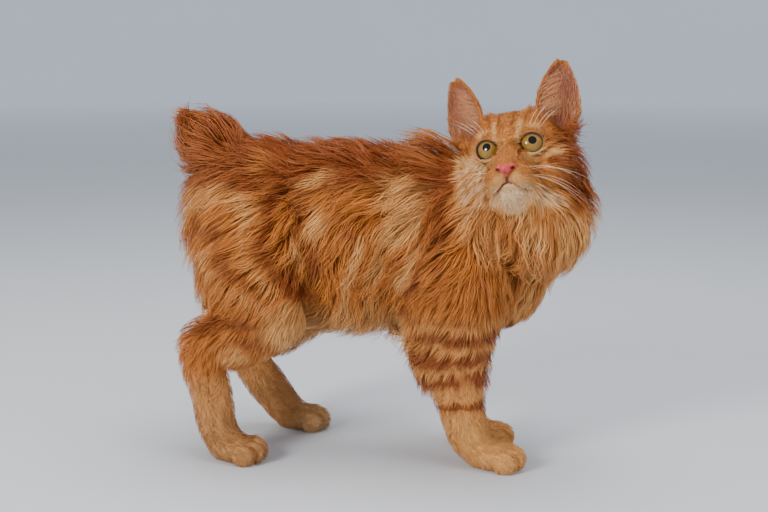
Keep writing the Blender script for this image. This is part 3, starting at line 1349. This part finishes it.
def eyeFinish():
    g = Graph("wetEye", Roughness=0.05, Coat_Weight=0.3, Coat_Roughness=0.02, Specular_IOR_Level=0.4)
    out, across, up = g.attribute("out"), g.attribute("across"), g.attribute("up")
    ray = g.node("ShaderNodeCombineXYZ", None, {0: across * 3.4, 1: up * 3.4, 2: out * 0.9})
    fibre = g.noise(ray, 3.2, 4.0, 0.65)
    blotch = g.noise(ray, 0.9, 2.0)
    iris = g.mix(g.limit(fibre * 1.6 - 0.35), hues["irisDark"], hues["irisLight"])
    green = g.limit((out * 60 - 34 + (blotch - 0.5) * 16) / 12)
    iris = g.mix(green * 0.45, iris, hues["irisGreen"])
    inner = g.limit((26 - out * 60) / 7)
    iris = g.mix(inner * 0.35, iris, hues["irisInner"])
    edge = g.limit((out * 60 - eyes["iris"] + 7 + (fibre - 0.5) * 4) / 6)
    iris = g.mix(edge, iris, hues["irisEdge"])
    iris = g.scale(iris, 1 - g.limit((up * out * 60 - 4) / 34) * 0.74)
    pupil = g.limit((eyes["pupil"] + 1.2 - out * 60) / 1.6)
    return g.feed(Base_Color=g.mix(pupil, iris, hues["pupil"]))


eyeMaterial = eyeFinish()
for name, side in (("eyeball_right", -1), ("eyeball_left", 1)):
    dress(makeEye(name, side), eyeMaterial)


# nose leather

def makeNose():
    soup = Soup()
    for centre, radii in [*bothSides(noseForms), noseFoot]:
        soup.ball(centre, radii, head)
    obj = soup.melt("nose_leather", "nose")
    for side in sides:
        turn = Matrix.Rotation(math.radians(side * 32), 4, "X")
        place = head @ Matrix.Translation((47.0, side * 5.2, -14.3)) @ turn
        combine(obj, [ballObject("nostril", (0, 0, 0), (2.2, 1.7, 0.62), place)], "DIFFERENCE")
    p, _, _, _ = meshArrays(obj)
    own = apply(toHead, p)
    deep = np.zeros(len(p))
    for side in sides:
        apart = np.linalg.norm((own - (46.8, side * 5.2, -14.3)) / (3.0, 2.2, 1.3), axis=1)
        deep = np.maximum(deep, 1 - ramp(apart, 0.62, 1.05))
    groove = np.exp(-(own[:, 1] / 0.55)**2) * ramp(-own[:, 2], 13, 17) * ramp(own[:, 0], 42, 45)
    p -= unit(p - np.array(head.translation)) * (groove * 0.7)[:, None]
    setPoints(obj, p)
    setValues(obj, "deep", np.maximum(deep, groove * 0.5))
    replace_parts(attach(obj, "root"), "nose")
    return obj


def noseFinish():
    g = Graph("noseLeather", Roughness=0.42, Specular_IOR_Level=0.5)
    pebble = g.node("ShaderNodeTexVoronoi", dict(feature="F1"), dict(Vector=g.place(), Scale=1900.0))
    tint = g.noise(g.place(), 300.0, 3.0)
    colour = g.mix(tint, hues["nose"], hues["noseLight"])
    colour = g.mix(g.limit(g.attribute("deep")), colour, hues["nostril"])
    return g.feed(Base_Color=colour, Normal=g.bump(pebble, 0.25, 0.0002))


dress(makeNose(), noseFinish())
print("eyes and nose")


# whiskers, brow hairs and the long hairs in the ears

whiskers = dict(
    seed=4, thick=0.15, lengths=(36, 52), rightShare=0.72,
    # place of each row's front root, and how many
    rows=[(39, 10.5, -16.5, 3), (38, 11.5, -19.5, 4), (36, 12.0, -22.5, 3)],
)
browHairs = dict(count=4, lengths=(16, 24), thick=0.24)
earHairs = dict(seed=9, edge=230, base=170)


def hairPiece(name, lines, widths, colours, flatness=0.8):
    lines = np.array(lines)
    aside = np.cross(lines[:, -1] - lines[:, 0], np.array([0.3, -0.9, 0.35]))
    vertices, faces, along, across = needles(lines, np.array(widths), unit(aside), flatness)
    each, count = vertices.shape[1], len(lines)
    values = dict(along=np.tile(along, count), shade=np.repeat(colours, each))
    pick = [tree.find_nearest(Vector(line[0]))[2] for line in lines]
    obj = makeObject(name, vertices.reshape(-1, 3), faces, values, patchUv(pick, along, across, faces))
    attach(obj, "root")
    return obj


def onFace(x, y, z):
    # the nearest place on the skin, in the head's own frame
    return apply(toHead, [nearestOn(apply(head, [(x, y, z)]))[0][0]])[0]


def makeWhiskers():
    dice = np.random.default_rng(whiskers["seed"])
    lines, widths = [], []
    s = np.linspace(0, 1, 15)[:, None]
    for side in sides:
        for row, (x, y, z, count) in enumerate(whiskers["rows"]):
            for k in range(count):
                root = onFace(x - 2.6 * k, side * (y + 0.9 * k), z + 0.2 * k)
                rise = 0.10 - 0.34 * row + dice.normal() * 0.10
                way = unit(np.array((0.22 - 0.16 * k, side * (0.9 + 0.05 * k), rise)))
                length = dice.uniform(*whiskers["lengths"]) * (1 - 0.05 * k)
                length *= 1 if side > 0 else whiskers["rightShare"]
                droop = np.array((-0.42, 0, -0.42 - 0.14 * row)) + dice.normal(size=3) * 0.08
                line = root + way * s * length + droop * (s**2.1) * length * 0.85 - way * s**3 * length * 0.12
                lines.append(apply(head, line))
                widths.append(whiskers["thick"] * dice.uniform(0.75, 1.1))
        for k in range(browHairs["count"]):
            root = onFace(20 - 1.5 * k, side * (15 + 2.4 * k), 16.5)
            way = unit(np.array((0.55, side * (0.35 + 0.12 * k), 0.9)))
            curl = np.array((-0.35, side * 0.25, -0.1))
            length = dice.uniform(*browHairs["lengths"])
            lines.append(apply(head, root + way * s * length + curl * s**2 * length))
            widths.append(browHairs["thick"])
    return hairPiece("whiskers", lines, widths, np.ones(len(lines)))


def inCup(up, bend, over):
    # a place over the ear's inner face, in the ear's own frame
    aside = earHalf(up) * math.sin(bend) / math.sin(ears["bend"])
    return np.array((earDepth(up, bend) + over, aside, up * ears["height"]))


def makeEarHairs():
    dice = np.random.default_rng(earHairs["seed"])
    lines, widths = [], []
    s = np.linspace(0, 1, 9)[:, None]
    for side in sides:
        for _ in range(earHairs["edge"]):
            # long hairs from the inner edge, across the cup
            up = dice.beta(1.4, 1.9) * 0.72 - 0.02
            bend = -side * ears["bend"] * dice.uniform(0.55, 0.98)
            length = dice.uniform(9, 22) * (1 - 0.4 * up)
            way = unit(np.array((0.34, side * dice.uniform(0.55, 1.0), dice.uniform(0.15, 0.8))))
            curl = np.array((-0.10, side * 0.1, dice.uniform(0.0, 0.35)))
            line = inCup(up, bend, 0.6) + way * s * length + curl * s**2 * length
            lines.append(apply(earMatrix(side), line))
            widths.append(dice.uniform(0.09, 0.18))
        for _ in range(earHairs["base"]):
            # shorter ones that stand up from the cup's foot
            up, bend = dice.uniform(-0.12, 0.34), dice.uniform(-1, 1) * ears["bend"]
            length = dice.uniform(7, 14)
            way = unit(np.array((0.5, -math.sin(bend) * 0.4 + dice.normal() * 0.2, dice.uniform(0.5, 1.0))))
            curl = np.array((-0.2, 0, 0.2))
            line = inCup(up, bend, 0.4) + way * s * length + curl * s**2 * length
            lines.append(apply(earMatrix(side), line))
            widths.append(dice.uniform(0.12, 0.24))
    return hairPiece("ear_hairs", lines, widths, np.zeros(len(lines)))


def hairFinish():
    g = Graph("paleHair", Roughness=0.35, Specular_IOR_Level=0.5)
    shade = g.attribute("shade")
    strand = g.noise(g.place(), 400.0, 2.0)
    colour = g.mix(g.limit(shade), hues["earHair"], hues["whisker"])
    return g.feed(Base_Color=g.scale(colour, 0.9 + strand * 0.15))


hairMaterial = hairFinish()
for piece, slot in ((makeWhiskers(), "head_coat"), (makeEarHairs(), "ear_skin")):
    dress(piece, hairMaterial)
print("whiskers and ear hairs")


# floor, light and camera

studio = dict(flat=7, sweep=2.5, around=64)  # metres, and steps round the floor


def makeFloor():
    # a wide round floor that sweeps up at its rim
    flat, sweep, around = studio["flat"], studio["sweep"], studio["around"]
    t = np.linspace(0, math.pi / 2, 13)[1:]
    rim = [(flat + sweep * math.sin(a), sweep - sweep * math.cos(a)) for a in t]
    rings = [(0.6, 0), (1.5, 0), (3, 0), (5, 0), (flat, 0), *rim]
    a = np.linspace(0, 2 * math.pi, around, endpoint=False)
    grid = [np.stack([r * np.cos(a), r * np.sin(a), np.full(around, z)], 1) for r, z in rings]
    faces = [(0, 1 + k, 1 + (k + 1) % around) for k in range(around)]
    for i in range(len(rings) - 1):
        for k in range(around):
            p, q = 1 + around * i + k, 1 + around * i + (k + 1) % around
            faces += [(p, p + around, q + around), (p, q + around, q)]
    floor = makeObject("studio_floor", (np.concatenate([[(0, 0, 0)], *grid]) - shift) / mm, faces)
    g = Graph("paleFloor", Roughness=0.75, Specular_IOR_Level=0.2, Emission_Strength=1.0)
    colour = g.mix(g.noise(g.place(), 1.2, 3.0), (0.60, 0.62, 0.66), (0.66, 0.675, 0.705))
    distance = g.node("ShaderNodeVectorMath", dict(operation="LENGTH"), {0: g.place()}, 1)
    glow = g.mix(g.limit((distance - 0.8) / 5.5), (0, 0, 0), (0.23, 0.27, 0.31))
    dress(floor, g.feed(Base_Color=colour, Emission_Color=glow))
    floor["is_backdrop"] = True


def addLight(name, place, target, size, power, colour, glints=False):
    light = bpy.data.lights.new(name, "AREA")
    light.shape, light.size, light.energy, light.color = "DISK", size, power, colour
    obj = bpy.data.objects.new(name, light)
    obj.location = place
    obj.rotation_mode = "QUATERNION"
    obj.rotation_quaternion = (Vector(target) - Vector(place)).to_track_quat("-Z", "Y")
    obj.visible_glossy = glints
    bpy.context.scene.collection.objects.link(obj)


makeFloor()
middleOfCat = (0.02, 0.0, 0.15)
addLight("window", (-1.0, -1.35, 0.85), middleOfCat, 0.6, 31, (1.0, 0.97, 0.93), True)
addLight("top", (0.1, 0.1, 1.6), middleOfCat, 1.3, 20, (1.0, 0.99, 0.97))
addLight("fill", (1.3, -0.7, 0.7), middleOfCat, 1.1, 9, (0.95, 0.97, 1.0))
world = bpy.data.worlds.new("softRoom")
world.use_nodes = True
world.node_tree.nodes["Background"].inputs["Color"].default_value = (0.74, 0.80, 0.88, 1)
world.node_tree.nodes["Background"].inputs["Strength"].default_value = 0.55
bpy.context.scene.world = world

view = dict(place=(0.153, -0.871, 0.303), turn=10, down=math.degrees(math.atan(206 / 1200)), lens=56.25)
cameraData = bpy.data.cameras.new("camera")
cameraData.lens, cameraData.sensor_width = view["lens"], 36
camera = bpy.data.objects.new("camera", cameraData)
turn, down = math.radians(view["turn"]), math.radians(view["down"])
ahead = Vector((-math.sin(turn) * math.cos(down), math.cos(turn) * math.cos(down), -math.sin(down)))
camera.location = Vector(view["place"]) + Vector(shift)
camera.rotation_mode = "QUATERNION"
camera.rotation_quaternion = ahead.to_track_quat("-Z", "Y")
bpy.context.scene.collection.objects.link(camera)
bpy.context.scene.camera = camera

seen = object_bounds()
for label, box in (("solids", cadBox), ("with coat", seen)):
    print(label, [round((b - a) / mm, 1) for a, b in zip(*box)])
